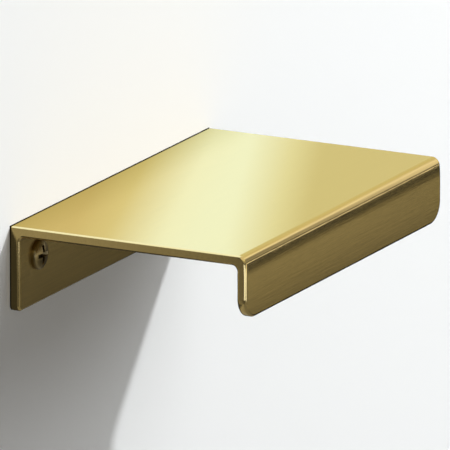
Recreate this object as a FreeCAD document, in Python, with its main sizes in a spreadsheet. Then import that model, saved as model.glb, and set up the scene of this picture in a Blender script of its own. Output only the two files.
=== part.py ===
import FreeCAD, Part
import math
import os

import Sketcher

# A C-shaped brass tab pull for a door or drawer front, with the two screws that hold it.
# X runs along the pull and Z up, the wall is the plane Y = 0, and the finger side is towards -Y.
# The origin is the middle of the flange's back face.

os.makedirs("parts", exist_ok=True)
doc = FreeCAD.newDocument("TabPull")

# Driving dimensions, in millimetres and degrees
driving = {
    "pull_length": 100.0,
    "reach": 60.0,
    "flange_height": 20.0,
    "lip_height": 15.0,
    "stock": 2.4,
    "bend_radius": 2.0,
    "lead_in_radius": 38.0,
    "lead_in_angle": 5.0,
    "lip_fillet": 1.4,
    "flange_fillet": 1.1,
    "lip_corner": 5.0,
    "flange_corner": 1.5,
    "edge_ease": 0.65,
    "back_ease": 0.5,
    "screw_inset": 9.0,
    "head_gap": 2.55,
    "shank_clearance": 0.25,
    "shank_diameter": 3.5,
    "shank_length": 16.0,
    "neck_diameter": 2.8,
    "tip_length": 4.0,
    "head_diameter": 6.9,
    "head_height": 1.7,
    "head_crown": 9.0,
    "head_shoulder": 0.5,
    "recess_depth": 1.1,
    "recess_span": 5.2,
    "recess_slot": 1.0,
    "recess_floor_span": 2.6,
    "recess_floor_slot": 0.7,
}
sizes = doc.addObject("Spreadsheet::Sheet", "Sizes")
for row, (alias, value) in enumerate(driving.items(), start=1):
    sizes.set(f"A{row}", alias)
    sizes.set(f"B{row}", str(value))
    sizes.setAlias(f"B{row}", alias)
doc.recompute()

# How a constraint names a sketch's own origin point and axes
ORIGIN = (-1, 1)
ACROSS_AXIS_INDEX = -1
UP_AXIS_INDEX = -2

# Two faces that meet at more than this many degrees make a sharp edge
SHARP_ANGLE = 30

# The screws stand in from the pull's two ends, with their heads a gap below the top plate
SCREW_ACROSS = "(Sizes.pull_length / 2 - Sizes.screw_inset)"
SCREW_UP = "(Sizes.flange_height / 2 - Sizes.stock - Sizes.head_gap - Sizes.head_diameter / 2)"
HOLE_RADIUS = "(Sizes.shank_diameter / 2 + Sizes.shank_clearance)"


def planeOf(body, role):
    return next(f for f in body.Origin.OriginFeatures if f.Role == role)


def newSketch(body, name, role):
    sketch = body.newObject("Sketcher::SketchObject", name)
    sketch.AttachmentSupport = [(planeOf(body, role), "")]
    sketch.MapMode = "FlatFace"
    return sketch


def line(sketch, start, end):
    ends = [FreeCAD.Vector(*place, 0) for place in (start, end)]
    return sketch.addGeometry(Part.LineSegment(*ends), False)


def arc(sketch, centre, radius, start, end):
    """Counter-clockwise from one angle to the other, in degrees."""
    circle = Part.Circle(FreeCAD.Vector(*centre, 0), FreeCAD.Vector(0, 0, 1), radius)
    span = Part.ArcOfCircle(circle, math.radians(start), math.radians(end))
    return sketch.addGeometry(span, False)


def relate(sketch, kind, *rows):
    for row in rows:
        sketch.addConstraint(Sketcher.Constraint(kind, *row))


def tie(sketch, kind, *where, to):
    """Adds one size to a sketch and ties it to the sheet."""
    number = sketch.addConstraint(Sketcher.Constraint(kind, *where, sketch.evalExpression(to)))
    sketch.renameConstraint(number, f"size_{number}")
    sketch.setExpression(f"Constraints.size_{number}", to)


def edgesWhere(feature, wanted):
    shape = feature.Shape
    return [f"Edge{n}" for n, edge in enumerate(shape.Edges, start=1) if wanted(shape, edge)]


def rounded(body, name, wanted, radius):
    """Rounds the edges of the body so far that are wanted."""
    doc.recompute()
    base = body.Tip
    fillet = body.newObject("PartDesign::Fillet", name)
    fillet.Base = (base, edgesWhere(base, wanted))
    fillet.setExpression("Radius", radius)
    return fillet


def isCornerAt(height):
    """An edge through the stock at either end of the pull, at this height."""
    end = driving["pull_length"] / 2

    def test(shape, edge):
        middle = edge.CenterOfMass
        return math.isclose(abs(middle.x), end) and math.isclose(middle.z, height)

    return test


def isSharp(shape, edge):
    """An edge whose two faces meet at a corner."""
    middle = edge.valueAt((edge.FirstParameter + edge.LastParameter) / 2)
    normals = [f.normalAt(*f.Surface.parameter(middle)) for f in shape.ancestorsOfType(edge, Part.Face)]
    return len(normals) == 2 and normals[0].getAngle(normals[1]) > math.radians(SHARP_ANGLE)


def isSharpInFront(shape, edge):
    """A sharp edge that doesn't lie on the wall."""
    return isSharp(shape, edge) and edge.CenterOfMass.y < -driving["back_ease"]


# The pull is one C section drawn along its length: flange, top plate, bend and lip.
def drawSection(body):
    d = driving
    top = d["flange_height"] / 2
    bottom = -top
    under = top - d["stock"]
    lipFoot = top - d["lip_height"]
    lean = math.radians(d["lead_in_angle"])
    bendFrom = 180 - d["lead_in_angle"]
    leadCentre = (
        d["lead_in_radius"] - d["reach"],
        top - d["bend_radius"] * (1 - math.sin(lean)) - d["lead_in_radius"] * math.sin(lean),
    )
    gap = d["lead_in_radius"] - d["bend_radius"]
    bendCentre = (leadCentre[0] - gap * math.cos(lean), leadCentre[1] + gap * math.sin(lean))
    lipBack = d["stock"] - d["reach"]
    lipCentre = (lipBack + d["lip_fillet"], under - d["lip_fillet"])
    flangeCentre = (-d["stock"] - d["flange_fillet"], under - d["flange_fillet"])

    sketch = newSketch(body, "Section", "YZ_Plane")
    back = line(sketch, (0, bottom), (0, top))
    plateTop = line(sketch, (0, top), (bendCentre[0], top))
    bend = arc(sketch, bendCentre, d["bend_radius"], 90, bendFrom)
    leadIn = arc(sketch, leadCentre, d["lead_in_radius"], bendFrom, 180)
    front = line(sketch, (-d["reach"], leadCentre[1]), (-d["reach"], lipFoot))
    lipEnd = line(sketch, (-d["reach"], lipFoot), (lipBack, lipFoot))
    lipInside = line(sketch, (lipBack, lipFoot), (lipBack, lipCentre[1]))
    lipFillet = arc(sketch, lipCentre, d["lip_fillet"], 90, 180)
    plateUnder = line(sketch, (lipCentre[0], under), (flangeCentre[0], under))
    flangeFillet = arc(sketch, flangeCentre, d["flange_fillet"], 0, 90)
    flangeFront = line(sketch, (-d["stock"], flangeCentre[1]), (-d["stock"], bottom))
    flangeEnd = line(sketch, (-d["stock"], bottom), (0, bottom))

    relate(sketch, "Vertical", (back,), (front,), (lipInside,), (flangeFront,))
    relate(sketch, "Horizontal", (plateTop,), (lipEnd,), (plateUnder,), (flangeEnd,))
    relate(
        sketch,
        "Coincident",
        (back, 2, plateTop, 1),
        (front, 2, lipEnd, 1),
        (lipEnd, 2, lipInside, 1),
        (flangeFront, 2, flangeEnd, 1),
        (flangeEnd, 2, back, 1),
    )
    relate(
        sketch,
        "Tangent",
        (plateTop, 2, bend, 1),
        (bend, 2, leadIn, 1),
        (leadIn, 2, front, 1),
        (lipInside, 2, lipFillet, 2),
        (lipFillet, 1, plateUnder, 1),
        (plateUnder, 2, flangeFillet, 2),
        (flangeFillet, 1, flangeFront, 1),
    )
    relate(sketch, "Symmetric", (back, 1, back, 2, *ORIGIN))
    tie(sketch, "DistanceY", back, 1, back, 2, to="Sizes.flange_height")
    tie(sketch, "DistanceX", front, 2, *ORIGIN, to="Sizes.reach")
    tie(sketch, "DistanceY", front, 2, back, 2, to="Sizes.lip_height")
    tie(sketch, "DistanceX", lipEnd, 1, lipEnd, 2, to="Sizes.stock")
    tie(sketch, "DistanceY", plateUnder, 2, plateTop, 1, to="Sizes.stock")
    tie(sketch, "DistanceX", flangeEnd, 1, flangeEnd, 2, to="Sizes.stock")
    tie(sketch, "Radius", bend, to="Sizes.bend_radius")
    tie(sketch, "Radius", leadIn, to="Sizes.lead_in_radius")
    tie(sketch, "Angle", leadIn, to="Sizes.lead_in_angle * 1 deg")
    tie(sketch, "Radius", lipFillet, to="Sizes.lip_fillet")
    tie(sketch, "Radius", flangeFillet, to="Sizes.flange_fillet")
    return sketch


def makePull():
    body = doc.addObject("PartDesign::Body", "PullBody")
    body.Label = "pull_body"
    bar = body.newObject("PartDesign::Pad", "Bar")
    bar.Profile = drawSection(body)
    bar.SideType = "Symmetric"
    bar.setExpression("Length", "Sizes.pull_length")

    top = driving["flange_height"] / 2
    rounded(body, "LipCorners", isCornerAt(top - driving["lip_height"]), "Sizes.lip_corner")
    rounded(body, "FlangeCorners", isCornerAt(-top), "Sizes.flange_corner")
    # The edges on the wall are barely broken, and the rest are worn round
    rounded(body, "EasedEdges", isSharpInFront, "Sizes.edge_ease")
    rounded(body, "EasedBack", isSharp, "Sizes.back_ease")

    # One clearance hole through the flange near each end
    circle = newSketch(body, "HoleCircle", "XZ_Plane")
    across, up, radius = [circle.evalExpression(size) for size in (SCREW_ACROSS, SCREW_UP, HOLE_RADIUS)]
    rim = Part.Circle(FreeCAD.Vector(across, up, 0), FreeCAD.Vector(0, 0, 1), radius)
    hole = circle.addGeometry(rim, False)
    tie(circle, "DistanceX", *ORIGIN, hole, 3, to=SCREW_ACROSS)
    tie(circle, "DistanceY", *ORIGIN, hole, 3, to=SCREW_UP)
    tie(circle, "Radius", hole, to=HOLE_RADIUS)
    drilled = body.newObject("PartDesign::Pocket", "ScrewHole")
    drilled.Profile = circle
    drilled.Reversed = True
    drilled.setExpression("Length", "Sizes.stock")
    both = body.newObject("PartDesign::Mirrored", "ScrewHoles")
    both.Originals = [drilled]
    both.MirrorPlane = (planeOf(body, "YZ_Plane"), [""])
    body.Tip = both
    return body


# A screw is turned about its own upright axis, with the head's underside at its origin.
# A plain neck passes through the flange, and the shank below it is as thick as its thread.
def drawTurning(body):
    d = driving
    shank = d["shank_diameter"] / 2
    neck = d["neck_diameter"] / 2
    head = d["head_diameter"] / 2
    crownCentre = d["head_height"] - d["head_crown"]
    shoulderRun = head - d["head_shoulder"]
    shoulderRise = math.sqrt((d["head_crown"] - d["head_shoulder"]) ** 2 - shoulderRun**2)
    shoulderHeight = crownCentre + shoulderRise
    meeting = math.degrees(math.atan2(shoulderRise, shoulderRun))
    point = -d["shank_length"]

    sketch = newSketch(body, "Turning", "XZ_Plane")
    taper = line(sketch, (0, point), (shank, point + d["tip_length"]))
    side = line(sketch, (shank, point + d["tip_length"]), (shank, -d["stock"]))
    step = line(sketch, (shank, -d["stock"]), (neck, -d["stock"]))
    neckSide = line(sketch, (neck, -d["stock"]), (neck, 0))
    underside = line(sketch, (neck, 0), (head, 0))
    wall = line(sketch, (head, 0), (head, shoulderHeight))
    shoulder = arc(sketch, (shoulderRun, shoulderHeight), d["head_shoulder"], 0, meeting)
    crown = arc(sketch, (0, crownCentre), d["head_crown"], meeting, 90)
    middle = line(sketch, (0, d["head_height"]), (0, point))

    relate(sketch, "Vertical", (side,), (neckSide,), (wall,))
    relate(sketch, "Horizontal", (step,), (underside,))
    relate(
        sketch,
        "Coincident",
        (taper, 2, side, 1),
        (side, 2, step, 1),
        (step, 2, neckSide, 1),
        (neckSide, 2, underside, 1),
        (underside, 2, wall, 1),
        (crown, 2, middle, 1),
        (middle, 2, taper, 1),
    )
    relate(sketch, "Tangent", (wall, 2, shoulder, 1), (shoulder, 2, crown, 1))
    relate(
        sketch,
        "PointOnObject",
        (middle, 1, UP_AXIS_INDEX),
        (middle, 2, UP_AXIS_INDEX),
        (crown, 3, UP_AXIS_INDEX),
        (underside, 1, ACROSS_AXIS_INDEX),
    )
    tie(sketch, "DistanceX", *ORIGIN, side, 1, to="Sizes.shank_diameter / 2")
    tie(sketch, "DistanceX", *ORIGIN, neckSide, 1, to="Sizes.neck_diameter / 2")
    tie(sketch, "DistanceX", *ORIGIN, wall, 1, to="Sizes.head_diameter / 2")
    tie(sketch, "DistanceY", side, 2, *ORIGIN, to="Sizes.stock")
    tie(sketch, "DistanceY", *ORIGIN, crown, 2, to="Sizes.head_height")
    tie(sketch, "DistanceY", taper, 1, *ORIGIN, to="Sizes.shank_length")
    tie(sketch, "DistanceY", taper, 1, taper, 2, to="Sizes.tip_length")
    tie(sketch, "Radius", shoulder, to="Sizes.head_shoulder")
    tie(sketch, "Radius", crown, to="Sizes.head_crown")
    return sketch


def drawCross(body, name, span, slot, height):
    """A cross of two equal slots, at a height on the screw's axis."""
    wide = driving[span] / 2
    narrow = driving[slot] / 2
    # Going round, each arm adds its two outer corners and the inner corner before the next arm
    arm = [("wide", -1, "narrow"), ("wide", 1, "narrow"), ("narrow", 1, "narrow")]
    reach = {"wide": wide, "narrow": narrow}
    cell = {"wide": f"Sizes.{span} / 2", "narrow": f"Sizes.{slot} / 2"}
    corners = []
    for turn in range(4):
        for along, sign, beside in arm:
            x = (1, along)
            y = (sign, beside)
            for _ in range(turn):
                x, y = (-y[0], y[1]), x
            corners.append((x, y))

    sketch = newSketch(body, name, "XY_Plane")
    sketch.setExpression("AttachmentOffset.Base.z", height)
    places = [(x[0] * reach[x[1]], y[0] * reach[y[1]]) for x, y in corners]
    sides = [line(sketch, places[n], places[(n + 1) % 12]) for n in range(12)]
    for n, (x, y) in enumerate(corners):
        relate(sketch, "Coincident", (sides[n - 1], 2, sides[n], 1))
        tie(sketch, "DistanceX", *ORIGIN, sides[n], 1, to=f"{x[0]} * {cell[x[1]]}")
        tie(sketch, "DistanceY", *ORIGIN, sides[n], 1, to=f"{y[0]} * {cell[y[1]]}")
    return sketch


def makeScrew(side, direction):
    body = doc.addObject("PartDesign::Body", f"Screw{side.title()}")
    body.Label = f"screw_{side}"
    turned = body.newObject("PartDesign::Revolution", f"Turned{side.title()}")
    turned.Profile = drawTurning(body)
    turned.ReferenceAxis = (turned.Profile[0], ["V_Axis"])
    turned.Angle = 360

    # The driver's recess narrows towards its floor
    mouth = drawCross(body, "RecessMouth", "recess_span", "recess_slot", "Sizes.head_height")
    floor = drawCross(
        body,
        "RecessFloor",
        "recess_floor_span",
        "recess_floor_slot",
        "Sizes.head_height - Sizes.recess_depth",
    )
    recess = body.newObject("PartDesign::SubtractiveLoft", f"Recess{side.title()}")
    recess.Profile = mouth
    recess.Sections = [floor]
    recess.Ruled = True

    # The head's underside lies on the flange's front face
    body.Placement = FreeCAD.Placement(FreeCAD.Vector(), FreeCAD.Rotation(FreeCAD.Vector(1, 0, 0), 90))
    body.setExpression("Placement.Base.x", f"{direction} * {SCREW_ACROSS}")
    body.setExpression("Placement.Base.y", "-Sizes.stock")
    body.setExpression("Placement.Base.z", SCREW_UP)
    return body


pieces = [makePull()]
for side, direction in (("left", -1), ("right", 1)):
    pieces.append(makeScrew(side, direction))
doc.recompute()

for item in doc.Objects:
    if "Invalid" in item.State or "Error" in item.State:
        raise RuntimeError(f"{item.Label} failed: {item.State}")
for piece in pieces:
    if piece.Shape.isNull() or not piece.Shape.isValid() or len(piece.Shape.Solids) != 1:
        raise RuntimeError(f"{piece.Label} has no sound solid")
    piece.Shape.exportStep(f"parts/{piece.Label}.step")
    print(piece.Label, round(piece.Shape.Volume, 1), piece.Shape.BoundBox)
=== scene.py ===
import math
from functools import partial

import bpy
import bmesh
from mathutils import Matrix, Vector


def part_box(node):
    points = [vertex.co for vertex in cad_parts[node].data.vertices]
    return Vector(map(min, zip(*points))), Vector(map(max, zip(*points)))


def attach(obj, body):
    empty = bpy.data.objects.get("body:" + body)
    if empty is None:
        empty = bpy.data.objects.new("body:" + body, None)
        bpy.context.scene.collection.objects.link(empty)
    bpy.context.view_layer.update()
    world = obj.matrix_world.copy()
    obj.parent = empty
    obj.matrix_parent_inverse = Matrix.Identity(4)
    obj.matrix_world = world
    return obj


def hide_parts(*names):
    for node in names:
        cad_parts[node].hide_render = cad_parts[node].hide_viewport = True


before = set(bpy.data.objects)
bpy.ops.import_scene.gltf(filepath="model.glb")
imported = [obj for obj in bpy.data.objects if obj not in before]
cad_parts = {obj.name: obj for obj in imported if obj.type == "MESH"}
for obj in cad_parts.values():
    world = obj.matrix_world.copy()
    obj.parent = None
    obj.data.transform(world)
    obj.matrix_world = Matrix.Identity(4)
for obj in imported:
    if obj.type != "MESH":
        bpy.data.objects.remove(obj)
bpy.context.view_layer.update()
print("stage: the packed pull is loaded")

mm = 0.001  # the scene is in metres
pullLow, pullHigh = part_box("pull_body")
headLow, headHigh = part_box("screw_left")
scene = bpy.context.scene


# Node helpers

def newMaterial(name):
    material = bpy.data.materials.new(name)
    material.use_nodes = True
    material.node_tree.nodes.clear()
    return material, material.node_tree


def addNode(tree, kind, inputs=None, **settings):
    node = tree.nodes.new(kind)
    for name, value in settings.items():
        setattr(node, name, value)
    for name, value in (inputs or {}).items():
        if isinstance(value, bpy.types.NodeSocket):
            tree.links.new(value, node.inputs[name])
        else:
            node.inputs[name].default_value = value
    return node


def mathNode(tree, operation, *values, clamp=False):
    node = tree.nodes.new("ShaderNodeMath")
    node.operation = operation
    node.use_clamp = clamp
    for place, value in enumerate(values):
        if isinstance(value, bpy.types.NodeSocket):
            tree.links.new(value, node.inputs[place])
        else:
            node.inputs[place].default_value = value
    return node.outputs[0]


def share(tree, value, low, high):
    # How far a value has come from low to high, kept between 0 and 1
    span = {"Value": value, "From Min": low, "From Max": high}
    return addNode(tree, "ShaderNodeMapRange", span).outputs[0]


def blend(tree, factor, a, b):
    node = addNode(tree, "ShaderNodeMix", {0: factor}, data_type="RGBA")
    for place, value in ((6, a), (7, b)):
        if isinstance(value, bpy.types.NodeSocket):
            tree.links.new(value, node.inputs[place])
        else:
            node.inputs[place].default_value = (*value, 1)
    return node.outputs[2]


def rampAlong(tree, value, stops):
    # Colours at the given values, with even change between them
    low, high = stops[0][0], stops[-1][0]
    node = addNode(tree, "ShaderNodeValToRGB", {"Fac": share(tree, value, low, high)})
    ramp = node.color_ramp
    ramp.elements.remove(ramp.elements[-1])
    for count, (place, colour) in enumerate(stops):
        where = (place - low) / (high - low)
        element = ramp.elements[0] if count == 0 else ramp.elements.new(where)
        element.position = where
        element.color = (*(colour if isinstance(colour, tuple) else (colour,) * 3), 1)
    return node.outputs["Color"]


def blendValue(tree, factor, a, b):
    return addNode(tree, "ShaderNodeMix", {0: factor, 2: a, 3: b}).outputs[0]


def product(tree, a, b):
    return addNode(tree, "ShaderNodeVectorMath", {0: a, 1: b}, operation="MULTIPLY").outputs[0]


def plainColour(tree, colour):
    return addNode(tree, "ShaderNodeCombineXYZ", dict(zip("XYZ", colour))).outputs[0]


def objectAxes(tree):
    place = addNode(tree, "ShaderNodeTexCoord").outputs["Object"]
    return addNode(tree, "ShaderNodeSeparateXYZ", {0: place}).outputs


def finishMaterial(tree, shader):
    output = addNode(tree, "ShaderNodeOutputMaterial")
    tree.links.new(shader, output.inputs["Surface"])


# Brass: fine streaks over a broad unevenness

brushing = {
    "detail": 4.0,
    "sharpness": 0.65,
    "broadScale": 90.0,
    "broadDetail": 2.0,
    "streakUneven": 0.04,
    "broadUneven": 0.02,
}


def brassMaterial(name, look, calm=None, coarse=None, paintedShade=None):
    # calm and coarse are functions that say where the streaks are weaker and where the brass is rougher;
    # the third, if given, says where shade is painted darker into the colour
    material, tree = newMaterial(name)
    do = partial(mathNode, tree)
    place = addNode(tree, "ShaderNodeTexCoord").outputs["Object"]
    across = 1 / look["streakWidth"]
    stretch = {"Vector": place, "Scale": (1 / look["streakLength"], across, across)}
    fine = {
        "Vector": addNode(tree, "ShaderNodeMapping", stretch).outputs[0],
        "Scale": 1.0,
        "Detail": brushing["detail"],
        "Roughness": brushing["sharpness"],
    }
    wide = {"Vector": place, "Scale": brushing["broadScale"], "Detail": brushing["broadDetail"]}
    streaks = addNode(tree, "ShaderNodeTexNoise", fine).outputs["Fac"]
    broad = addNode(tree, "ShaderNodeTexNoise", wide).outputs["Fac"]
    uneven = do("MULTIPLY", broad, brushing["broadUneven"])
    uneven = do("MULTIPLY_ADD", streaks, brushing["streakUneven"], uneven)
    middle = (brushing["streakUneven"] + brushing["broadUneven"]) / 2
    roughness = look["roughness"]
    if coarse:
        roughness = blendValue(tree, coarse(tree), roughness, look["coarseRoughness"])
    if calm:
        strength = blendValue(tree, calm(tree), 1.0, look["calmStreaks"])
        streaks = do("MULTIPLY_ADD", do("SUBTRACT", streaks, 0.5), strength, 0.5)
    tone = do("MULTIPLY_ADD", streaks, look["streakTone"], 1 - look["streakTone"] / 2)
    # painted shade darkens the colour where the third function says
    if paintedShade:
        tone = do("MULTIPLY", tone, blendValue(tree, paintedShade(tree), 1.0, look["paintedShadeTone"]))
    bumps = {"Height": streaks, "Strength": 1.0, "Distance": look["streakDepth"]}
    colour = addNode(tree, "ShaderNodeVectorMath", {0: look["colour"]}, operation="SCALE")
    tree.links.new(tone, colour.inputs["Scale"])
    surface = {
        "Base Color": colour.outputs[0],
        "Metallic": 1.0,
        "Roughness": do("ADD", uneven, do("SUBTRACT", roughness, middle)),
        "Anisotropic": look["anisotropic"],
        "Normal": addNode(tree, "ShaderNodeBump", bumps).outputs[0],
    }
    if look["anisotropic"]:
        along = addNode(tree, "ShaderNodeTangent", direction_type="UV_MAP", uv_map="grain")
        surface["Tangent"] = along.outputs[0]
    finishMaterial(tree, addNode(tree, "ShaderNodeBsdfPrincipled", surface).outputs[0])
    return material


# The pull: one C section, with rounded corners and eased edges, brushed along its length

pull = {
    "halfLength": pullHigh.x,
    "reach": -pullLow.y,
    "top": pullHigh.z,
    "bottom": pullLow.z,
    "lipHeight": 15.0 * mm,
    "stock": 2.4 * mm,
    "bendRadius": 2.0 * mm,
    "leadInRadius": 38.0 * mm,
    "leadInAngle": math.radians(5),
    "lipFillet": 1.4 * mm,
    "flangeFillet": 1.1 * mm,
    "lipCorner": 5.0 * mm,
    "flangeCorner": 1.5 * mm,
    "edgeEase": 0.65 * mm,
    "backEase": 0.5 * mm,
    "easeSteps": 8,
    "sharpAngle": math.radians(30),
    "stepAngle": math.radians(4),
    "leadInSteps": 10,
    "holeRadius": 2.0 * mm,
    "holeSides": 64,
    "drillLength": 9.6 * mm,
    "screwInset": 9.0 * mm,
    "screwHeight": (headLow.z + headHigh.z) / 2,
    "sameDigits": 9,
    "onWallWithin": 0.0001 * mm,
}
brass = {
    "colour": (0.62, 0.455, 0.165),
    "roughness": 0.13,
    "coarseRoughness": 0.34,
    "anisotropic": 0.5,
    "streakLength": 14 * mm,
    "streakWidth": 0.5 * mm,
    "streakDepth": 0.014 * mm,
    "streakTone": 0.35,
    "calmStreaks": 0.4,
    "plateDeep": 0.3 * mm,
    "insideFrom": 2.3 * mm,
    "endFacing": 0.8,
}


def onThePlate(tree):
    # 1 on the plate's top face and just below it
    return mathNode(tree, "GREATER_THAN", objectAxes(tree)["Z"], pull["top"] - brass["plateDeep"])


def insideTheHook(tree):
    # 1 on the faces that the fingers reach, which are brushed more coarsely
    axes = objectAxes(tree)
    do = partial(mathNode, tree)
    skin = brass["insideFrom"]
    behindLip = do("GREATER_THAN", axes["Y"], skin - pull["reach"])
    beforeFlange = do("LESS_THAN", axes["Y"], -skin)
    underPlate = do("LESS_THAN", axes["Z"], pull["top"] - skin)
    betweenEnds = do("LESS_THAN", do("ABSOLUTE", axes["X"]), pull["halfLength"] - pull["edgeEase"])
    deep = do("MULTIPLY", behindLip, beforeFlange)
    return do("MULTIPLY", deep, do("MULTIPLY", underPlate, betweenEnds))


def arcPoints(centre, radius, start, end, steps=None):
    count = steps or max(2, math.ceil(abs(end - start) / pull["stepAngle"]))
    turns = [start + (end - start) * n / count for n in range(count + 1)]
    return [(centre[0] + radius * math.cos(t), centre[1] + radius * math.sin(t)) for t in turns]


def sectionRuns():
    # The section in (y, z): over the plate and down the lip, then up behind the lip and under the plate
    lean = pull["leadInAngle"]
    under = pull["top"] - pull["stock"]
    lead = (
        pull["leadInRadius"] - pull["reach"],
        pull["top"] - pull["bendRadius"] * (1 - math.sin(lean)) - pull["leadInRadius"] * math.sin(lean),
    )
    gap = pull["leadInRadius"] - pull["bendRadius"]
    bend = (lead[0] - gap * math.cos(lean), lead[1] + gap * math.sin(lean))
    lipBack = pull["stock"] - pull["reach"]
    outer = [(0.0, pull["top"])]
    outer += arcPoints(bend, pull["bendRadius"], math.pi / 2, math.pi - lean)
    outer += arcPoints(lead, pull["leadInRadius"], math.pi - lean, math.pi, pull["leadInSteps"])[1:]
    lipInside = (lipBack + pull["lipFillet"], under - pull["lipFillet"])
    flangeInside = (-pull["stock"] - pull["flangeFillet"], under - pull["flangeFillet"])
    inner = arcPoints(lipInside, pull["lipFillet"], math.pi, math.pi / 2)
    inner += arcPoints(flangeInside, pull["flangeFillet"], math.pi / 2, 0)
    return outer, inner


def roundedFoot(base, radius):
    # The lower outline of the lip or the flange in (x, z), from right to left
    half = pull["halfLength"]
    right = arcPoints((half - radius, base + radius), radius, 0, -math.pi / 2)
    return right + [(-x, z) for x, z in reversed(right)]


def buildPull():
    half = pull["halfLength"]
    digits = pull["sameDigits"]
    mesh = bmesh.new()
    made = {}

    def corner(x, y, z):
        key = (round(x, digits), round(y, digits), round(z, digits))
        if key not in made:
            made[key] = mesh.verts.new((x, y, z))
        return made[key]

    def face(points):
        ring = []
        for point in points:
            vertex = corner(*point)
            if vertex not in ring:
                ring.append(vertex)
        mesh.faces.new(ring)

    outer, inner = sectionRuns()
    for run in (outer, inner):
        for a, b in zip(run, run[1:]):
            face([(-half, *a), (half, *a), (half, *b), (-half, *b)])
    lipFoot = roundedFoot(pull["top"] - pull["lipHeight"], pull["lipCorner"])
    flangeFoot = roundedFoot(pull["bottom"], pull["flangeCorner"])
    for ring, front, rear in ((lipFoot, outer[-1], inner[0]), (flangeFoot, inner[-1], outer[0])):
        for y, z in (front, rear):
            face([(half, y, z), *[(x, y, low) for x, low in ring], (-half, y, z)])
        for (x0, z0), (x1, z1) in zip(ring, ring[1:]):
            face([(x0, front[0], z0), (x1, front[0], z1), (x1, rear[0], z1), (x0, rear[0], z0)])
    for side in (-half, half):
        rim = [(side, *point) for point in outer]
        rim += [(side, outer[-1][0], lipFoot[0][1]), (side, inner[0][0], lipFoot[0][1])]
        rim += [(side, *point) for point in inner]
        rim += [(side, inner[-1][0], flangeFoot[0][1]), (side, 0.0, flangeFoot[0][1])]
        face(rim)
    bmesh.ops.recalc_face_normals(mesh, faces=mesh.faces)

    # Sharp edges are eased, and those on the wall only a little
    weights = mesh.edges.layers.float.new("bevel_weight_edge")
    for edge in mesh.edges:
        if edge.calc_face_angle() > pull["sharpAngle"]:
            onWall = all(abs(vertex.co.y) < pull["onWallWithin"] for vertex in edge.verts)
            edge[weights] = pull["backEase"] / pull["edgeEase"] if onWall else 1.0
    return meshObject("brass_pull", mesh)


def meshObject(name, mesh):
    data = bpy.data.meshes.new(name)
    mesh.to_mesh(data)
    mesh.free()
    piece = bpy.data.objects.new(name, data)
    scene.collection.objects.link(piece)
    return piece


def screwHoles():
    drill = bmesh.new()
    for side in (-1, 1):
        place = Vector((side * (pull["halfLength"] - pull["screwInset"]), 0, pull["screwHeight"]))
        bmesh.ops.create_cone(
            drill,
            cap_ends=True,
            segments=pull["holeSides"],
            radius1=pull["holeRadius"],
            radius2=pull["holeRadius"],
            depth=pull["drillLength"],
            matrix=Matrix.Translation(place) @ Matrix.Rotation(math.pi / 2, 4, "X"),
        )
    return meshObject("drill", drill)


def grainMap(data):
    # A map whose first axis runs along the pull, so that the brushing follows it
    layer = data.uv_layers.new(name="grain")
    for polygon in data.polygons:
        onEnd = abs(polygon.normal.x) > brass["endFacing"]
        for loop in polygon.loop_indices:
            x, y, z = data.vertices[data.loops[loop].vertex_index].co
            layer.data[loop].uv = (y, z) if onEnd else (x, y + z)


def settle(piece):
    # Turns the live modifiers into a plain mesh at the origin
    data = bpy.data.meshes.new_from_object(piece.evaluated_get(bpy.context.evaluated_depsgraph_get()))
    data.name = piece.name
    piece.modifiers.clear()
    piece.data = data


pullPiece = buildPull()
bevel = pullPiece.modifiers.new("eased edges", "BEVEL")
bevel.limit_method = "WEIGHT"
bevel.offset_type = "OFFSET"
bevel.width = pull["edgeEase"]
bevel.segments = pull["easeSteps"]
bevel.use_clamp_overlap = False
drill = screwHoles()
holes = pullPiece.modifiers.new("screw holes", "BOOLEAN")
holes.operation = "DIFFERENCE"
holes.object = drill
holes.solver = "EXACT"
for piece in (pullPiece, drill):
    piece.data.shade_smooth()
even = pullPiece.modifiers.new("even shading", "WEIGHTED_NORMAL")
even.keep_sharp = True
settle(pullPiece)
bpy.data.objects.remove(drill)
pullPiece.data.materials.clear()
pullFinish = brassMaterial("satin brass brushed lengthwise", brass, calm=onThePlate, coarse=insideTheHook)
pullPiece.data.materials.append(pullFinish)
grainMap(pullPiece.data)
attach(pullPiece, "root")
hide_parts("pull_body")
print("stage: the brass pull has", len(pullPiece.data.polygons), "faces")


# The screws: pan heads with a cross recess, a plain neck and a wood thread

screw = {
    "Spacing": 2 * (pull["halfLength"] - pull["screwInset"]),
    "Height": pull["screwHeight"],
    "Flange Thickness": pull["stock"],
    "Head Diameter": 6.9 * mm,
    "Head Height": 1.7 * mm,
    "Crown Radius": 9.0 * mm,
    "Shoulder Radius": 0.5 * mm,
    "Recess Depth": 1.1 * mm,
    "Recess Span": 5.2 * mm,
    "Recess Slot": 1.0 * mm,
    "Recess Floor Span": 2.6 * mm,
    "Recess Floor Slot": 0.7 * mm,
    "Neck Diameter": 2.8 * mm,
    "Core Diameter": 2.3 * mm,
    "Thread Diameter": 3.5 * mm,
    "Thread Pitch": 1.5 * mm,
    "Thread Start": 0.4 * mm,
    "Reach": headHigh.y,
    "Tip Length": 4.0 * mm,
}
screwBrass = {
    # painted shade: the screws' brass is darker than the pull's, for the shade of the plate over them
    "colour": (0.42, 0.315, 0.13),
    "roughness": 0.3,
    "anisotropic": 0.0,
    "streakLength": 0.4 * mm,
    "streakWidth": 0.4 * mm,
    "streakDepth": 0.0015 * mm,
    "streakTone": 0.2,
    # painted shade: how dark the recess and the side of each head are painted, the depths over which the
    # recess's shade grows, and how far past the recess's mouth it reaches
    "paintedShadeTone": 0.45,
    "recessShadeDepths": (0.03 * mm, 0.25 * mm),
    "recessShadeMargin": 0.3 * mm,
    "sideInsets": (0.3 * mm, 0.1 * mm),
}
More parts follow.
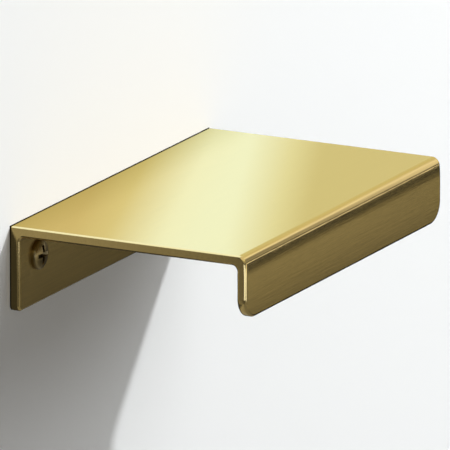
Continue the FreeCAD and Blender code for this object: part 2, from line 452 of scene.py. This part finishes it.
screwMesh = {
    "headSides": 72,
    "shoulderSteps": 5,
    "crownSteps": 8,
    "threadSides": 36,
    "threadSteps": 6,
    "ridgeWidth": 1.25,
    "buried": 0.3 * mm,
    "cutAbove": 0.3 * mm,
    "weld": 0.001 * mm,
    "sharpAngle": math.radians(35),
}


def shadeInRecessAndSide(tree):
    # 1 well below a screw's crown in the driver's recess, and on the side of its head: where painted shade
    # darkens the screws' colour
    axes = objectAxes(tree)
    do = partial(mathNode, tree)
    outward = do("SUBTRACT", do("ABSOLUTE", axes["X"]), screw["Spacing"] / 2)
    upward = do("SUBTRACT", axes["Z"], screw["Height"])
    away = do("ADD", do("POWER", outward, 2.0), do("POWER", upward, 2.0))
    crown = screw["Crown Radius"]
    dome = do("SQRT", do("SUBTRACT", crown**2, do("MINIMUM", away, crown**2)))
    crownCentre = screw["Flange Thickness"] + screw["Head Height"] - crown
    proud = do("SUBTRACT", do("MULTIPLY", axes["Y"], -1.0), crownCentre)
    sunk = share(tree, do("SUBTRACT", dome, proud), *screwBrass["recessShadeDepths"])
    mouth = screw["Recess Span"] / 2 + screwBrass["recessShadeMargin"]
    sunk = do("MULTIPLY", sunk, do("LESS_THAN", away, mouth**2))
    edge = [(screw["Head Diameter"] / 2 - inset) ** 2 for inset in screwBrass["sideInsets"]]
    return do("MAXIMUM", sunk, share(tree, away, *edge))


def turnedGrid(tree, rows, sides):
    # A grid to wrap round the screw's axis: its row number, and how far round it is, from 0 to 1
    grid = addNode(tree, "GeometryNodeMeshGrid", {"Size X": 1.0, "Size Y": 1.0})
    grid.inputs["Vertices X"].default_value = rows + 1
    grid.inputs["Vertices Y"].default_value = sides + 1
    place = addNode(tree, "GeometryNodeInputPosition").outputs[0]
    spot = addNode(tree, "ShaderNodeSeparateXYZ", {0: place})
    row = mathNode(tree, "ROUND", mathNode(tree, "MULTIPLY_ADD", spot.outputs["X"], rows, rows / 2))
    return grid.outputs["Mesh"], row, mathNode(tree, "ADD", spot.outputs["Y"], 0.5)


def turnedShape(tree, grid, angle, radius, along):
    # Wraps the grid round the Y axis, and closes its seam and its ends
    place = addNode(tree, "ShaderNodeCombineXYZ", {"Y": along})
    for axis, wave in (("X", "COSINE"), ("Z", "SINE")):
        tree.links.new(mathNode(tree, "MULTIPLY", radius, mathNode(tree, wave, angle)), place.inputs[axis])
    bent = addNode(tree, "GeometryNodeSetPosition", {"Geometry": grid, "Position": place.outputs[0]})
    weld = {"Geometry": bent.outputs[0], "Distance": screwMesh["weld"]}
    return addNode(tree, "GeometryNodeMergeByDistance", weld).outputs[0]


def screwHead(tree, size):
    do = partial(mathNode, tree)
    first = 2 + screwMesh["shoulderSteps"]
    grid, row, turn = turnedGrid(tree, first + screwMesh["crownSteps"], screwMesh["headSides"])
    shoulder, crown = size["Shoulder Radius"], size["Crown Radius"]
    crownCentre = do("SUBTRACT", size["Head Height"], crown)
    run = do("SUBTRACT", do("DIVIDE", size["Head Diameter"], 2.0), shoulder)
    bows = do("SUBTRACT", crown, shoulder)
    rise = do("SQRT", do("SUBTRACT", do("POWER", bows, 2.0), do("POWER", run, 2.0)))
    meeting = do("ARCTAN2", rise, run)
    onShoulder = do("MULTIPLY", meeting, share(tree, row, 2, first))
    onCrown = share(tree, row, first, first + screwMesh["crownSteps"])
    onCrown = do("MULTIPLY", do("SUBTRACT", math.pi / 2, meeting), onCrown)
    angle = do("ADD", onShoulder, onCrown)
    crowned = do("GREATER_THAN", row, first + 0.5)
    flat = do("SUBTRACT", 1.0, crowned)
    bow = do("ADD", do("MULTIPLY", flat, shoulder), do("MULTIPLY", crowned, crown))
    shoulderUp = do("MULTIPLY", flat, do("ADD", crownCentre, rise))
    centreUp = do("ADD", shoulderUp, do("MULTIPLY", crowned, crownCentre))
    radius = do("ADD", do("MULTIPLY", flat, run), do("MULTIPLY", bow, do("COSINE", angle)))
    height = do("ADD", centreUp, do("MULTIPLY", bow, do("SINE", angle)))
    radius = do("MULTIPLY", radius, do("GREATER_THAN", row, 0.5))
    height = do("MULTIPLY", height, do("GREATER_THAN", row, 1.5))
    along = do("SUBTRACT", do("MULTIPLY", height, -1.0), size["Flange Thickness"])
    return turnedShape(tree, grid, do("MULTIPLY", turn, -2 * math.pi), radius, along)


def recessArm(tree, size, upright):
    # One arm of the driver's cross: a block that narrows from its mouth to its floor
    do = partial(mathNode, tree)
    block = addNode(tree, "GeometryNodeMeshCube", {"Size": (1.0, 1.0, 1.0)}).outputs["Mesh"]
    place = addNode(tree, "GeometryNodeInputPosition").outputs[0]
    spot = addNode(tree, "ShaderNodeSeparateXYZ", {0: place})
    tall = do("ADD", size["Recess Depth"], screwMesh["cutAbove"])
    rise = do("MULTIPLY", do("SUBTRACT", 0.5, spot.outputs["Y"]), tall)
    level = do("DIVIDE", rise, size["Recess Depth"])

    def opened(part):
        floor = size["Recess Floor " + part]
        return do("ADD", floor, do("MULTIPLY", do("SUBTRACT", size["Recess " + part], floor), level))

    wide, narrow = ("Z", "X") if upright else ("X", "Z")
    floorAt = do("ADD", size["Flange Thickness"], do("SUBTRACT", size["Head Height"], size["Recess Depth"]))
    shape = {
        wide: do("MULTIPLY", spot.outputs[wide], opened("Span")),
        narrow: do("MULTIPLY", spot.outputs[narrow], opened("Slot")),
        "Y": do("MULTIPLY", do("ADD", floorAt, rise), -1.0),
    }
    moved = {"Geometry": block, "Position": addNode(tree, "ShaderNodeCombineXYZ", shape).outputs[0]}
    return addNode(tree, "GeometryNodeSetPosition", moved).outputs[0]


def screwShank(tree, size):
    # The grid's rows are wound like the thread, so that one row in each turn's steps is the crest
    do = partial(mathNode, tree)
    steps = screwMesh["threadSteps"]
    length = screw["Reach"] + screw["Flange Thickness"] + screwMesh["buried"]
    rows = math.ceil(length / screw["Thread Pitch"] * steps) + steps
    grid, row, turn = turnedGrid(tree, rows, screwMesh["threadSides"])
    start = do("SUBTRACT", -screwMesh["buried"], size["Flange Thickness"])
    climb = do("DIVIDE", do("ADD", row, do("MULTIPLY", do("SUBTRACT", turn, 1.0), steps)), steps)
    wound = do("MULTIPLY_ADD", climb, size["Thread Pitch"], start)
    along = do("MINIMUM", do("MAXIMUM", wound, start), size["Reach"])
    phase = do("ABSOLUTE", do("SUBTRACT", do("FLOORED_MODULO", row, float(steps)), steps / 2))
    ridge = do("SUBTRACT", 1.0, do("DIVIDE", phase, screwMesh["ridgeWidth"]), clamp=True)
    begun = share(tree, along, size["Thread Start"], do("ADD", size["Thread Start"], size["Thread Pitch"]))
    neck = do("DIVIDE", size["Neck Diameter"], 2.0)
    core = do("DIVIDE", size["Core Diameter"], 2.0)
    crest = do("DIVIDE", size["Thread Diameter"], 2.0)
    slimmed = share(tree, along, 0.0, size["Thread Start"])
    body = do("ADD", neck, do("MULTIPLY", do("SUBTRACT", core, neck), slimmed))
    proud = do("MULTIPLY", do("SUBTRACT", crest, body), do("MULTIPLY", ridge, begun))
    tip = do("DIVIDE", do("SUBTRACT", size["Reach"], along), size["Tip Length"], clamp=True)
    radius = do("MULTIPLY", do("ADD", body, proud), do("MULTIPLY", tip, do("GREATER_THAN", row, 0.5)))
    return turnedShape(tree, grid, do("MULTIPLY", turn, 2 * math.pi), radius, along)


def screwTree(material):
    tree = bpy.data.node_groups.new("mounting screws", "GeometryNodeTree")
    for name in screw:
        tree.interface.new_socket(name=name, in_out="INPUT", socket_type="NodeSocketFloat")
    tree.interface.new_socket(name="Geometry", in_out="OUTPUT", socket_type="NodeSocketGeometry")
    size = addNode(tree, "NodeGroupInput").outputs
    head = {0: screwHead(tree, size)}
    cut = addNode(tree, "GeometryNodeMeshBoolean", head, operation="DIFFERENCE", solver="EXACT")
    for upright in (True, False):
        tree.links.new(recessArm(tree, size, upright), cut.inputs["Mesh 2"])
    one = addNode(tree, "GeometryNodeJoinGeometry")
    for part in (cut.outputs["Mesh"], screwShank(tree, size)):
        tree.links.new(part, one.inputs[0])
    left = mathNode(tree, "DIVIDE", size["Spacing"], -2.0)
    first = addNode(tree, "ShaderNodeCombineXYZ", {"X": left, "Z": size["Height"]})
    stride = addNode(tree, "ShaderNodeCombineXYZ", {"X": size["Spacing"]})
    places = {"Count": 2, "Start Location": first.outputs[0], "Offset": stride.outputs[0]}
    points = addNode(tree, "GeometryNodeMeshLine", places).outputs["Mesh"]
    pair = addNode(tree, "GeometryNodeInstanceOnPoints", {"Points": points, "Instance": one.outputs[0]})
    real = addNode(tree, "GeometryNodeRealizeInstances", {0: pair.outputs[0]})
    smooth = addNode(tree, "GeometryNodeSetShadeSmooth", {0: real.outputs[0]})
    paint = {"Geometry": smooth.outputs[0], "Material": material}
    painted = addNode(tree, "GeometryNodeSetMaterial", paint)
    output = addNode(tree, "NodeGroupOutput")
    tree.links.new(painted.outputs[0], output.inputs[0])
    return tree


screwPiece = bpy.data.objects.new("mounting_screws", bpy.data.meshes.new("mounting_screws"))
scene.collection.objects.link(screwPiece)
turned = screwPiece.modifiers.new("mounting screws", "NODES")
turned.node_group = screwTree(brassMaterial("satin brass of the screws with painted shade", screwBrass, paintedShade=shadeInRecessAndSide))
for socket in turned.node_group.interface.items_tree:
    if socket.in_out == "INPUT":
        turned[socket.identifier] = screw[socket.name]
settle(screwPiece)
screwPiece.data.set_sharp_from_angle(angle=screwMesh["sharpAngle"])
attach(screwPiece, "root")
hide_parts("screw_left", "screw_right")
print("stage: the two screws have", len(screwPiece.data.polygons), "faces")


# The wall, the floor and the cards that only the metal sees

# The wall's and the floor's lengths are in metres. The bounce is how much of its colour each paint keeps in
# rays other than the camera's, and the fill is how much it glows by itself in the camera's.
stage = {
    "wallWide": 1.6,
    "wallUp": 1.2,
    "floorDrop": 0.1,
    "wallGap": 0.02 * mm,
    "wallWhite": (0.88, 0.88, 0.875),
    "floorWhite": (0.86, 0.86, 0.85),
    "wallBounce": 1.0,
    "floorBounce": 0.2,
    "fill": 0.05,
    # painted contact shadow round the flange: how far above the plate it reaches, and its dark colour
    "contactShadeRise": 0.05 * mm,
    "contactShadeColour": (0.02, 0.015, 0.01),
}

# The light in the metal's reflection of the wall. The bearing turns about the plate's left end at the wall:
# 0 points along the pull, 90 up and -90 down. Each side of the bright band leans to the left as it rises,
# and crosses its stops at a height of its own above the plate.
wallGlow = {
    "bandSides": [
        {
            "lean": 1.5,
            "crossing": 11 * mm,
            "stops": [
                (-24 * mm, (0.92, 0.84, 0.46)),
                (2 * mm, (1.01, 0.99, 0.59)),
                (41 * mm, (1.28, 1.52, 1.46)),
                (64 * mm, (1.28, 1.56, 1.56)),
            ],
        },
        {
            "lean": 0.6,
            "crossing": 21 * mm,
            "stops": [
                (64 * mm, (1.0, 1.0, 1.0)),
                (90 * mm, (0.86, 0.77, 0.57)),
                (108 * mm, (0.72, 0.6, 0.37)),
                (200 * mm, (0.727, 0.59, 0.372)),
            ],
        },
    ],
    "nearPlate": [(0 * mm, (0.8, 0.8, 0.7)), (7 * mm, (1.0, 1.0, 1.0))],
    "left": [
        (-200 * mm, 0.14),
        (-168 * mm, 0.155),
        (-157 * mm, 0.25),
        (-144 * mm, 0.28),
        (-119 * mm, 0.31),
        (-94 * mm, 0.38),
        (-62 * mm, 0.42),
    ],
    "high": (1.5, 1.85, 2.7),
    "shade": (0.06, 0.06, 0.06),
    "shadeBearings": (-133, -126),
    "levels": (-0.5 * mm, 0.5 * mm),
    "highBearings": (31, 38),
    "leftBearings": (118, 138),
}
# The light in its reflection of the floor, by the distance out from the wall in metres. The left part and
# the far left one begin at the given places along the pull.
floorGlow = {
    "right": [
        (-1.6, 0.15),
        (-0.86, 0.15),
        (-0.7, 1.4),
        (-0.4, 1.2),
        (-0.25, 0.2),
        (-0.13, 0.2),
        (-0.06, 0.06),
        (0.0, 0.02),
    ],
    "left": [(-0.4, 0.25), (-0.06, 0.25), (-0.02, 0.3), (0.0, 0.55)],
    "farLeft": (0.13, 0.13, 0.13),
    "parting": (0.12, 0.1),
    "farParting": (-0.16, -0.18),
    "behind": (0.5, 0.49, 0.44),
    "behindFrom": (0.0, 0.02),
}
# The light along the strip that the lip reflects, by the distance out from the wall
stripGlow = [
    (-450 * mm, 1.4),
    (-290 * mm, 1.4),
    (-274 * mm, 0.04),
    (-205 * mm, 0.06),
    (-190 * mm, (0.17, 0.16, 0.125)),
    (-176 * mm, (0.4, 0.385, 0.3)),
    (-171 * mm, (0.56, 0.54, 0.415)),
    (-165 * mm, (0.39, 0.375, 0.29)),
    (-160 * mm, (0.275, 0.265, 0.205)),
    (-150 * mm, (0.18, 0.17, 0.14)),
    (-138 * mm, 0.14),
    (-120 * mm, 0.05),
    (-104 * mm, 0.01),
    (-60 * mm, 0.01),
]
# The pattern on the strip slants: a spot's place along the lip, from left to right, shifts its stops
stripSlant = {
    "across": 1.973,
    "from": -60 * mm,
    "shift": -0.2,
    "most": -6 * mm,
    "above": (-168 * mm, -178 * mm),
}
# The light over the bend, by its distance out from the wall, for the bend's left end and for its right end
bendGlow = {
    "left": [
        (-300 * mm, 0.3),
        (-165 * mm, 0.35),
        (-104 * mm, 0.32),
        (-90 * mm, 0.6),
        (-80 * mm, 1.35),
        (-74 * mm, 1.25),
        (-68 * mm, (0.95, 0.93, 0.65)),
        (-61 * mm, (0.9, 0.88, 0.58)),
    ],
    "right": [
        (-300 * mm, 0.85),
        (-207 * mm, 0.95),
        (-135 * mm, 1.05),
        (-106 * mm, 1.15),
        (-80 * mm, 1.27),
        (-74 * mm, 1.27),
        (-68 * mm, 1.15),
        (-61 * mm, (0.95, 0.93, 0.62)),
    ],
    "slant": 1.55,
    "offset": 65.4 * mm,
    "ends": (-45 * mm, 45 * mm),
}
cardLight = (1.6, 1.78, 2.5)
# The front card's light, by height
frontGlow = [(-60 * mm, 0.45), (-50 * mm, 0.3), (-40 * mm, 0.2), (-34 * mm, 0.3), (-28 * mm, cardLight)]
# Two opposite corners of each card, in metres
cards = {
    "strip": ((0.03, -0.45, -0.06), (0.9, -0.06, -0.06)),
    "bend": ((-0.01, -0.3, 0.04), (0.6, -0.061, 0.04)),
    "front": ((-0.11, -0.15, -0.06), (-0.025, -0.15, -0.01)),
    "left": ((-0.11, -0.15, -0.021), (-0.11, -0.0602, -0.004)),
}


def stageFace(name, low, high, material):
    # A level or an upright rectangle
    (x0, y0, z0), (x1, y1, z1) = low, high
    if z0 == z1:
        corners = [(x0, y0, z0), (x1, y0, z0), (x1, y1, z0), (x0, y1, z0)]
    else:
        corners = [(x0, y0, z0), (x0, y0, z1), (x1, y1, z1), (x1, y1, z0)]
    mesh = bmesh.new()
    mesh.faces.new([mesh.verts.new(corner) for corner in corners])
    piece = meshObject(name, mesh)
    piece.data.materials.append(material)
    return piece


def buildWall(material):
    # An upright wall, open behind the flange so that the flange's back is lit
    y = stage["wallGap"]
    wide, high, low = stage["wallWide"], stage["wallUp"], -stage["floorDrop"]
    side, top = pull["halfLength"] - pull["backEase"], pull["top"] - pull["backEase"]
    cut = side - pull["flangeCorner"]
    bottom = pull["bottom"] + pull["backEase"]
    inner = [(-side, top), (side, top), (side, bottom + pull["flangeCorner"]), (cut, bottom)]
    inner += [(-cut, bottom), (-side, bottom + pull["flangeCorner"])]
    # The lower corners stand twice, because two inner corners face each of them
    outer = [(-wide, high), (wide, high), (wide, low), (wide, low), (-wide, low), (-wide, low)]
    mesh = bmesh.new()
    corners = {place: mesh.verts.new((place[0], y, place[1])) for place in inner + outer}
    for n in range(len(inner)):
        ring = [inner[n], inner[n - 1], outer[n - 1], outer[n]]
        mesh.faces.new([corners[place] for place in dict.fromkeys(ring)])
    for face in mesh.faces:
        face.normal_update()
        if face.normal.y > 0:
            face.normal_flip()
    piece = meshObject("wall", mesh)
    piece.data.materials.append(material)


def frontOnly(tree, shader):
    # Clear from behind, so that the pull can be looked at through the wall
    back = addNode(tree, "ShaderNodeNewGeometry").outputs["Backfacing"]
    clear = addNode(tree, "ShaderNodeBsdfTransparent").outputs[0]
    return addNode(tree, "ShaderNodeMixShader", {0: back, 1: shader, 2: clear}).outputs[0]


def glowingPaint(tree, colour, bounce, glow):
    # Matt paint, whose reflection in the metal is the given glow
    rays = addNode(tree, "ShaderNodeLightPath").outputs
    deep = addNode(tree, "ShaderNodeVectorMath", {0: colour, "Scale": bounce}, operation="SCALE").outputs[0]
    tone = blend(tree, rays["Is Camera Ray"], deep, colour)
    paint = addNode(tree, "ShaderNodeBsdfDiffuse", {"Color": tone}).outputs[0]
    fill = addNode(tree, "ShaderNodeEmission", {"Color": colour, "Strength": stage["fill"]}).outputs[0]
    lifted = addNode(tree, "ShaderNodeAddShader", {0: paint, 1: fill}).outputs[0]
    seen = addNode(tree, "ShaderNodeMixShader", {0: rays["Is Camera Ray"], 1: paint, 2: lifted}).outputs[0]
    light = addNode(tree, "ShaderNodeEmission", {"Color": glow, "Strength": 1.0}).outputs[0]
    return addNode(tree, "ShaderNodeMixShader", {0: rays["Is Glossy Ray"], 1: seen, 2: light}).outputs[0]


def bandLight(tree, axes, up):
    # The band's left side times its right one
    sides = []
    for side in wallGlow["bandSides"]:
        above = mathNode(tree, "SUBTRACT", up, side["crossing"])
        leaning = mathNode(tree, "MULTIPLY_ADD", above, side["lean"], axes["X"])
        sides.append(rampAlong(tree, leaning, side["stops"]))
    return product(tree, *sides)


def wallPaint():
    material, tree = newMaterial("pale wall paint")
    axes = objectAxes(tree)
    across = mathNode(tree, "ADD", axes["X"], pull["halfLength"])
    up = mathNode(tree, "SUBTRACT", axes["Z"], pull["top"])
    bearing = mathNode(tree, "DEGREES", mathNode(tree, "ARCTAN2", up, across))
    left = rampAlong(tree, axes["X"], wallGlow["left"])
    plate = product(tree, bandLight(tree, axes, up), rampAlong(tree, up, wallGlow["nearPlate"]))
    low = blend(tree, share(tree, bearing, *wallGlow["shadeBearings"]), left, wallGlow["shade"])
    high = blend(tree, share(tree, bearing, *wallGlow["highBearings"]), plate, wallGlow["high"])
    high = blend(tree, share(tree, bearing, *wallGlow["leftBearings"]), high, left)
    glow = blend(tree, share(tree, up, *wallGlow["levels"]), low, high)
    # Painted contact shadow on the wall round the flange, under its eased back edge, also seen in the
    # metal's reflection
    corner = pull["flangeCorner"]
    aside = mathNode(tree, "SUBTRACT", mathNode(tree, "ABSOLUTE", axes["X"]), pull["halfLength"] - corner)
    below = mathNode(tree, "SUBTRACT", pull["bottom"] + corner, axes["Z"])
    far = [mathNode(tree, "POWER", mathNode(tree, "MAXIMUM", part, 0.0), 2.0) for part in (aside, below)]
    within = mathNode(tree, "LESS_THAN", mathNode(tree, "ADD", *far), corner**2)
    level = mathNode(tree, "LESS_THAN", axes["Z"], pull["top"] + stage["contactShadeRise"])
    contactShade = mathNode(tree, "MULTIPLY", within, level)
    colour = blend(tree, contactShade, stage["wallWhite"], stage["contactShadeColour"])
    glow = blend(tree, contactShade, glow, stage["contactShadeColour"])
    finishMaterial(tree, frontOnly(tree, glowingPaint(tree, colour, stage["wallBounce"], glow)))
    return material


def floorPaint():
    material, tree = newMaterial("pale floor")
    axes = objectAxes(tree)
    sides = [rampAlong(tree, axes["Y"], floorGlow[side]) for side in ("right", "left")]
    glow = blend(tree, share(tree, axes["X"], *floorGlow["parting"]), *sides)
    glow = blend(tree, share(tree, axes["X"], *floorGlow["farParting"]), glow, floorGlow["farLeft"])
    glow = blend(tree, share(tree, axes["Y"], *floorGlow["behindFrom"]), glow, floorGlow["behind"])
    colour = plainColour(tree, stage["floorWhite"])
    finishMaterial(tree, frontOnly(tree, glowingPaint(tree, colour, stage["floorBounce"], glow)))
    return material


def stripLight(tree, axes):
    slant = stripSlant
    away = mathNode(tree, "SUBTRACT", axes["Y"], slant["from"])
    onLip = mathNode(tree, "MULTIPLY_ADD", away, slant["across"], axes["X"])
    shift = mathNode(tree, "MULTIPLY", mathNode(tree, "MAXIMUM", onLip, 0.0), slant["shift"])
    shift = mathNode(tree, "MAXIMUM", shift, slant["most"])
    shifted = mathNode(tree, "MULTIPLY_ADD", shift, share(tree, axes["Y"], *slant["above"]), axes["Y"])
    return rampAlong(tree, shifted, stripGlow)


def bendLight(tree, axes):
    slanted = mathNode(tree, "MULTIPLY_ADD", axes["Y"], bendGlow["slant"], axes["X"])
    onBend = mathNode(tree, "ADD", slanted, bendGlow["offset"])
    sides = [rampAlong(tree, axes["Y"], bendGlow[side]) for side in ("left", "right")]
    return blend(tree, share(tree, onBend, *bendGlow["ends"]), *sides)


def frontLight(tree, axes):
    return rampAlong(tree, axes["Z"], frontGlow)


def leftLight(tree, axes):
    return plainColour(tree, cardLight)


def addCard(name, light):
    # A card that only reflections see
    material, tree = newMaterial(name + " card")
    glow = light(tree, objectAxes(tree))
    finishMaterial(tree, addNode(tree, "ShaderNodeEmission", {"Color": glow}).outputs[0])
    card = stageFace(name + " card", *cards[name], material)
    card.visible_camera = False
    card.visible_diffuse = False
    card.visible_shadow = False
    card.visible_transmission = False
    card.visible_volume_scatter = False


buildWall(wallPaint())
wide, drop = stage["wallWide"], -stage["floorDrop"]
stageFace("floor", (-wide, -wide, drop), (wide, wide, drop), floorPaint())
addCard("strip", stripLight)
addCard("bend", bendLight)
addCard("front", frontLight)
addCard("left", leftLight)
print("stage: wall, floor and cards are in place")


# Daylight all round: how bright each height above the horizon, in degrees, is in the metal
surroundings = {
    "light": 0.2,
    "lightTint": (1.0, 0.93, 0.82),
    "seen": [
        (-90, 0.1),
        (-12, 0.15),
        (1, 0.15),
        (4, 0.42),
        (25, 0.5),
        (27, (0.93, 0.91, 0.62)),
        (30.6, (0.93, 0.91, 0.62)),
        (34, 1.1),
        (60, 1.0),
        (90, 1.05),
    ],
    "paper": (0.9, 0.9, 0.9),
}


def buildWorld():
    world = bpy.data.worlds.new("studio")
    world.use_nodes = True
    tree = world.node_tree
    tree.nodes.clear()
    direction = addNode(tree, "ShaderNodeTexCoord").outputs["Generated"]
    axes = addNode(tree, "ShaderNodeSeparateXYZ", {0: direction}).outputs
    height = mathNode(tree, "DEGREES", mathNode(tree, "ARCSINE", axes["Z"]))
    seen = rampAlong(tree, height, surroundings["seen"])
    rays = addNode(tree, "ShaderNodeLightPath").outputs
    soft = tuple(channel * surroundings["light"] for channel in surroundings["lightTint"])
    glow = blend(tree, rays["Is Glossy Ray"], soft, seen)
    shown = blend(tree, rays["Is Camera Ray"], glow, surroundings["paper"])
    sky = addNode(tree, "ShaderNodeBackground", {"Color": shown, "Strength": 1.0})
    output = addNode(tree, "ShaderNodeOutputWorld")
    tree.links.new(sky.outputs[0], output.inputs["Surface"])
    scene.world = world


buildWorld()


# A small lamp draws the shadow's edge, and a wide one in the same place softens it. Each has its width in
# metres and its power in watts.

lamps = {
    "towards": (0.85, -1.0, 1.0),
    "distance": 2.0,
    "colour": (1.0, 1.03, 1.05),
    "each": {"key lamp": (0.09, 27.0), "wide lamp": (2.2, 27.5)},
}
towards = Vector(lamps["towards"]).normalized()
for name, (size, power) in lamps["each"].items():
    lamp = bpy.data.lights.new(name, "AREA")
    lamp.shape = "DISK"
    lamp.size = size
    lamp.energy = power
    lamp.color = lamps["colour"]
    holder = bpy.data.objects.new(name, lamp)
    holder.visible_glossy = False
    holder.location = towards * lamps["distance"]
    holder.rotation_euler = towards.to_track_quat("Z", "Y").to_euler()
    scene.collection.objects.link(holder)


# The camera, far off with a long lens

view = {
    "lens": 1200.0,
    "sensor": 36.0,
    "clip": (0.1, 20.0),
    "azimuth": -63.147,
    "elevation": 14.916,
    "aim": Vector((11.493, -23.580, -1.494)) * mm,
    "distance": 3446.23 * mm,
}
turn = math.radians(view["azimuth"])
rise = math.radians(view["elevation"])
back = Vector((math.sin(turn) * math.cos(rise), -math.cos(turn) * math.cos(rise), math.sin(rise)))
lens = bpy.data.cameras.new("camera")
lens.lens = view["lens"]
lens.sensor_width = view["sensor"]
lens.clip_start, lens.clip_end = view["clip"]
camera = bpy.data.objects.new("camera", lens)
scene.collection.objects.link(camera)
camera.location = view["aim"] + back * view["distance"]
camera.rotation_mode = "QUATERNION"
camera.rotation_quaternion = back.to_track_quat("Z", "Y")
scene.camera = camera

scene.view_settings.view_transform = "Standard"
print("stage: lights and camera are in place")
